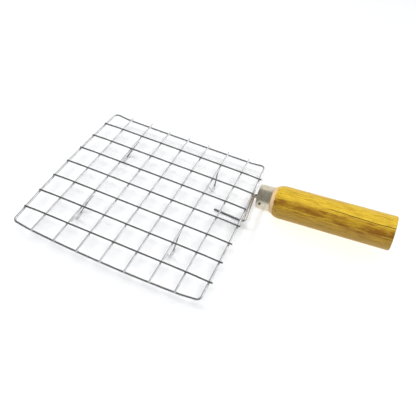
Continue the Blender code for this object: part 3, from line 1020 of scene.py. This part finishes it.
# %% Ferrule finish
OLIVE, SAND, LIGHT_SAND = (0.54, 0.50, 0.36), (0.70, 0.64, 0.51), (0.84, 0.74, 0.63)
zinc_sheet, tree, shader = new_finish("zinc_sheet", Metallic=0.80)
rolled = speckle(tree, turned_place(tree, (1.0, 0.12, 0.12)), 2.4, 4.0, 0.6)
cloud = speckle(tree, turned_place(tree), 0.22, 3.0, 0.6, 0.4)
tone = maths(tree, "ADD", maths(tree, "MULTIPLY", rolled, 0.35), maths(tree, "MULTIPLY", cloud, 0.7))
colour = ramp(tree, tone, [(0.36, OLIVE), (0.54, SAND), (0.70, LIGHT_SAND)])
rough = ramp(tree, tone, [(0.35, 0.40), (0.7, 0.22)])
set_shader(tree, shader, colour, rough, rolled, 0.35, 0.05 * MM)
wear_finish(zinc_sheet, [ferrule])
print("ferrule finish nodes:", len(tree.nodes))

# %% [markdown]
# ## The nail's steel
#
# Plain dark steel, dull in the dimple and rubbed brighter on top in specks.

# %% Nail finish
nail_steel, tree, shader = new_finish("nail_steel", Metallic=1.0)
rub = speckle(tree, object_place(tree), 1.4, 3.0)
colour = ramp(tree, rub, [(0.42, (0.05, 0.045, 0.04)), (0.68, (0.22, 0.21, 0.19))])
tree.links.new(colour, shader.inputs["Base Color"])
tree.links.new(ramp(tree, rub, [(0.4, 0.62), (0.7, 0.38)]), shader.inputs["Roughness"])
wear_finish(nail_steel, [nail])
print("nail finish on", nail.name)

# %% [markdown]
# ## Varnished wood
#
# Wood is a solid of growth rings, so its figure is best made as rings round a line that runs
# beside the handle's axis: the turned surface then cuts through them and shows long streaks on
# the side and arcs on the end, with no seam. A slow noise bends the rings along the length.

# %% Wood figure
PITH_ACROSS, PITH_UP = -4.0, -21.0      # millimetres from the handle's axis
RING_WIDTH = 1.9                        # millimetres
RING_BEND = 9.0                         # millimetres
wood_finish, tree, shader = new_finish(
    "varnished_wood", Specular_IOR_Level=0.28, Coat_Weight=0.12, Coat_Roughness=0.3, Coat_IOR=1.45
)
place = turned_place(tree)
bend = speckle(tree, turned_place(tree, (0.25, 1.0, 1.0)), 0.09, 3.0, 0.6)
split = put(tree, "ShaderNodeSeparateXYZ", {0: place})
along, across, above = split.outputs["X"], split.outputs["Y"], split.outputs["Z"]
off_across = maths(tree, "SUBTRACT", across, PITH_ACROSS)
off_above = maths(tree, "SUBTRACT", above, PITH_UP)
squares = [maths(tree, "MULTIPLY", value, value) for value in (off_across, off_above)]
ring_reach = maths(tree, "SQRT", maths(tree, "ADD", *squares))
bent_reach = maths(tree, "ADD", ring_reach, maths(tree, "MULTIPLY", bend, RING_BEND))
ring_wave = maths(tree, "FRACT", maths(tree, "DIVIDE", bent_reach, RING_WIDTH))
late_wood = ramp(tree, ring_wave, [(0.0, 0.25), (0.55, 0.35), (0.88, 1.0), (1.0, 0.25)])
print("wood figure nodes:", len(tree.nodes))

# %% [markdown]
# The colour starts from strands and rings, between a bright yellow and an ochre. A paler band on
# one side is a painted highlight, and a browner underside is painted shade. These sides are set by
# the angle round the axis, as a part of a whole turn, so they keep their place along the handle.

# %% Wood colour
YELLOW = (0.82, 0.575, 0.042, 1)
# The pale colour is a painted highlight, and the underside colour below is painted shade.
HIGHLIGHT_PALE = (0.90, 0.78, 0.44, 1)
OCHRE = (0.54, 0.31, 0.014, 1)
SHADE_BROWN = (0.42, 0.238, 0.022, 1)
HIGHLIGHT_BAND = [(0.0, 0.0), (0.10, 0.8), (0.13, 0.8), (0.175, 0.0)]
SHADE_BAND = [(0.41, 0.0), (0.46, 0.8), (0.60, 0.8), (0.80, 0.0)]

strand = speckle(tree, turned_place(tree, (0.045, 1.0, 1.0)), 1.05, 4.0, 0.65)
base = mix(tree, ramp(tree, strand, [(0.36, 0.9), (0.60, 0.0)]), YELLOW, OCHRE)
base = mix(tree, maths(tree, "MULTIPLY", late_wood, 0.30), base, OCHRE)
turn = maths(tree, "ARCTAN2", above, across)
round_part = maths(tree, "FRACT", maths(tree, "ADD", maths(tree, "DIVIDE", turn, 2 * math.pi), 1.0))
# Painted highlight in a band on one side, then painted shade underneath.
base = mix(tree, ramp(tree, round_part, HIGHLIGHT_BAND), base, HIGHLIGHT_PALE)
base = mix(tree, ramp(tree, round_part, SHADE_BAND), base, SHADE_BROWN)
print("bands round the handle:", HIGHLIGHT_BAND, SHADE_BAND)

# %% [markdown]
# A broad brown streak of heartwood lies along one side. Its edge would be a straight line, so the
# angle is first pushed to and fro by the slow bend and by the fine strands. Dark fibres and short
# pores along the grain come over it, and last the painted shade inside the crack.

# %% Heartwood, fibres and pores
HEART_BROWN = (0.24, 0.092, 0.006, 1)
FIBRE_BROWN = (0.17, 0.075, 0.006, 1)
CRACK_SHADE = (0.035, 0.016, 0.006, 1)
HEART_ANGLE = math.radians(145)
HEART_HALF = math.radians(26)


def swayed(tree, value, sway, amount):
    """The value, pushed up and down by a noise that swings round a half."""
    swing = maths(tree, "MULTIPLY", maths(tree, "SUBTRACT", sway, 0.5), amount)
    return maths(tree, "ADD", value, swing)


fibre = speckle(tree, turned_place(tree, (0.05, 1.0, 1.0)), 1.9, 5.0, 0.7)
pores = speckle(tree, turned_place(tree, (0.14, 1.0, 1.0)), 3.0, 2.0)
patch = speckle(tree, turned_place(tree, (0.30, 1.0, 1.0)), 0.22, 3.0, 0.65)
ragged_turn = swayed(tree, swayed(tree, turn, bend, 0.5), strand, 1.3)
off_heart = maths(tree, "ABSOLUTE", maths(tree, "SUBTRACT", ragged_turn, HEART_ANGLE))
heart = ramp(tree, maths(tree, "DIVIDE", off_heart, HEART_HALF), [(0.45, 0.95), (1.25, 0.0)])
heart = maths(tree, "MULTIPLY", heart, ramp(tree, patch, [(0.36, 0.45), (0.58, 1.0)]))
base = mix(tree, heart, base, HEART_BROWN)
base = mix(tree, ramp(tree, fibre, [(0.36, 0.65), (0.50, 0.0)]), base, FIBRE_BROWN)
base = mix(tree, ramp(tree, pores, [(0.30, 0.6), (0.40, 0.0)]), base, FIBRE_BROWN)
crack = put(tree, "ShaderNodeAttribute", attribute_name="crack").outputs["Fac"]
# Painted shade inside the crack.
base = mix(tree, ramp(tree, crack, [(0.12, 0.0), (0.55, 1.0)]), base, CRACK_SHADE)
print("wood colour nodes:", len(tree.nodes))

# %% [markdown]
# The varnish stops at the shoulder: the chamfer by the ferrule was cut after varnishing, so it is
# bare and pale, with a ragged edge. The flat outer end is end grain, which drinks varnish and goes
# darker. Both masks come from the distance along the axis.

# %% Bare chamfer and end grain
BARE, BARE_FIBRE = (0.86, 0.65, 0.40, 1), (0.66, 0.42, 0.22, 1)
END_GRAIN, END_RING = (0.42, 0.235, 0.05, 1), (0.24, 0.11, 0.02, 1)
SATIN, DULLER, BARE_ROUGH = (0.36, 0.36, 0.36, 1), (0.50, 0.50, 0.50, 1), (0.75, 0.75, 0.75, 1)
MASK_BACK = 0.3             # millimetres that each mask starts before its edge
VARNISH_START = shoulder_start / MM - MASK_BACK
END_START = HANDLE_LENGTH / MM - MASK_BACK

past_varnish = maths(tree, "SUBTRACT", swayed(tree, along, patch, 2.4), VARNISH_START)
bare = maths(tree, "SUBTRACT", 1.0, maths(tree, "MULTIPLY", past_varnish, 2.0, True), True)
base = mix(tree, bare, base, mix(tree, fibre, BARE, BARE_FIBRE))
end_face = maths(tree, "MULTIPLY", maths(tree, "SUBTRACT", along, END_START), 4.0, True)
end_pores = ramp(tree, speckle(tree, place, 2.6, 2.0), [(0.34, 0.7), (0.46, 0.0)])
end_tone = mix(tree, end_pores, mix(tree, ring_wave, END_GRAIN, END_RING), FIBRE_BROWN)
base = mix(tree, end_face, base, end_tone)
rough = mix(tree, bare, mix(tree, patch, SATIN, DULLER), BARE_ROUGH)
relief = maths(tree, "ADD", maths(tree, "MULTIPLY", fibre, 0.6), maths(tree, "MULTIPLY", pores, 0.5))
set_shader(tree, shader, base, rough, relief, 0.35, 0.12 * MM)
wear_finish(wood_finish, [wood])
print("wood finish nodes:", len(tree.nodes))

# %% [markdown]
# ## The table
#
# A plain white sheet that is larger than the view, so that its edge never shows. A very faint
# cloudy tone keeps it from being one flat colour.

# %% Table
TABLE_HALF = 4.0
PAPER_SHADE, PAPER_LIGHT = (0.90, 0.905, 0.91), (0.92, 0.925, 0.93)

table_shape = bmesh.new()
bmesh.ops.create_grid(table_shape, x_segments=1, y_segments=1, size=TABLE_HALF)
table = link_mesh("table", table_shape)
table.location.z = cad_box[0].z
white_top, tree, shader = new_finish("white_table", Roughness=0.6)
faint = speckle(tree, object_place(tree), 0.004, 2.0)
paper = ramp(tree, faint, [(0.3, PAPER_SHADE), (0.7, PAPER_LIGHT)])
tree.links.new(paper, shader.inputs["Base Color"])
table.data.materials.append(white_top)
print("table top at", table.location.z)

# %% [markdown]
# ## What the metal mirrors
#
# Bright metal shows what stands round it, and in a plain white room every wire would be white. So
# mirror rays see a room with a bright far wall, a dark ceiling and near side, a dim left side and
# a bright right side. Wires along X then show a dark line and wires along Y a light one. The light
# that fills the shadows comes from an even pale dome, and behind the table the camera sees white.
# The Light Path node tells the three kinds of ray apart.

# %% Surroundings
DARK_FROM = 0.355           # height angle over the far side, as a part of a half turn
SOFT_EDGE = 0.03
ROOM_WHITE = (0.95, 0.94, 0.92)
ROOM_DARK = (0.105, 0.115, 0.09)
# From 0 at the left to 1 at the right, how bright the mirrored room is; 0.5 leaves it as it is.
SIDES = [(0.20, 0.16), (0.32, 0.5), (0.60, 0.5), (0.72, 0.85), (0.84, 0.85), (0.93, 0.20)]
FILL = (0.36, 0.365, 0.375, 1)
BACKGROUND = (1.0, 1.0, 1.0, 1)

world = bpy.data.worlds.new("studio")
world.use_nodes = True
tree = world.node_tree
direction = put(tree, "ShaderNodeTexCoord").outputs["Generated"]
parts = put(tree, "ShaderNodeSeparateXYZ", {0: direction})
height_angle = maths(tree, "ARCTAN2", parts.outputs["Z"], parts.outputs["Y"])
half_turns = maths(tree, "DIVIDE", height_angle, math.pi)
room = ramp(tree, half_turns, [(DARK_FROM - SOFT_EDGE, ROOM_WHITE), (DARK_FROM + SOFT_EDGE, ROOM_DARK)])
sideways = maths(tree, "ADD", maths(tree, "MULTIPLY", parts.outputs["X"], 0.5), 0.5)
sides = ramp(tree, sideways, SIDES)
mirrored = mix(tree, 1.0, room, maths(tree, "MULTIPLY", sides, 2.0), "MULTIPLY")
light_path = put(tree, "ShaderNodeLightPath")
seen = mix(tree, light_path.outputs["Is Camera Ray"], FILL, BACKGROUND)
seen = mix(tree, light_path.outputs["Is Glossy Ray"], seen, mirrored)
tree.links.new(seen, tree.nodes["Background"].inputs["Color"])
tree.nodes["Background"].inputs["Strength"].default_value = 1.0
bpy.context.scene.world = world
print("world nodes:", len(tree.nodes))

# %% [markdown]
# ## The lamps
#
# One broad lamp hangs overhead and a smaller one stands at the left, both far away so that the
# light is even over the table. They are hidden from mirror rays. Light linking keeps the handle's
# and the ferrule's shadow off the table, so that it stays white beside them; the wires cast theirs.

# %% Lamps
def soft_light(name, place, target, width, watts, colour):
    """A round lamp at a place, turned to its target."""
    data = bpy.data.lights.new(name, "AREA")
    data.shape = "DISK"
    data.size = width
    data.energy = watts
    data.color = colour
    lamp = bpy.data.objects.new(name, data)
    lamp.location = place
    lamp.rotation_mode = "QUATERNION"
    lamp.rotation_quaternion = (target - place).to_track_quat("-Z", "Y")
    bpy.context.scene.collection.objects.link(lamp)
    return lamp


aim = Vector((*MESH_MIDDLE, CROSS_Z))
from_left = aim + Vector((-1.5, -0.56, 1.6))
from_above = aim + Vector((0.2, -0.1, 2.4))
lamps = [
    soft_light("key_light", from_left, aim, 0.56, 15.2, (1.0, 0.985, 0.96)),
    soft_light("overhead_light", from_above, aim, 2.28, 47.2, (1.0, 1.0, 1.0)),
]
shadowless = bpy.data.collections.new("shadowless")
for number, piece in enumerate((wood, ferrule)):
    shadowless.objects.link(piece)
    shadowless.collection_objects[number].light_linking.link_state = "EXCLUDE"
for lamp in lamps:
    lamp.visible_glossy = False
    lamp.light_linking.blocker_collection = shadowless
bpy.context.scene.view_settings.view_transform = "Standard"
print("lamps:", {lamp.name: lamp.data.energy for lamp in lamps})
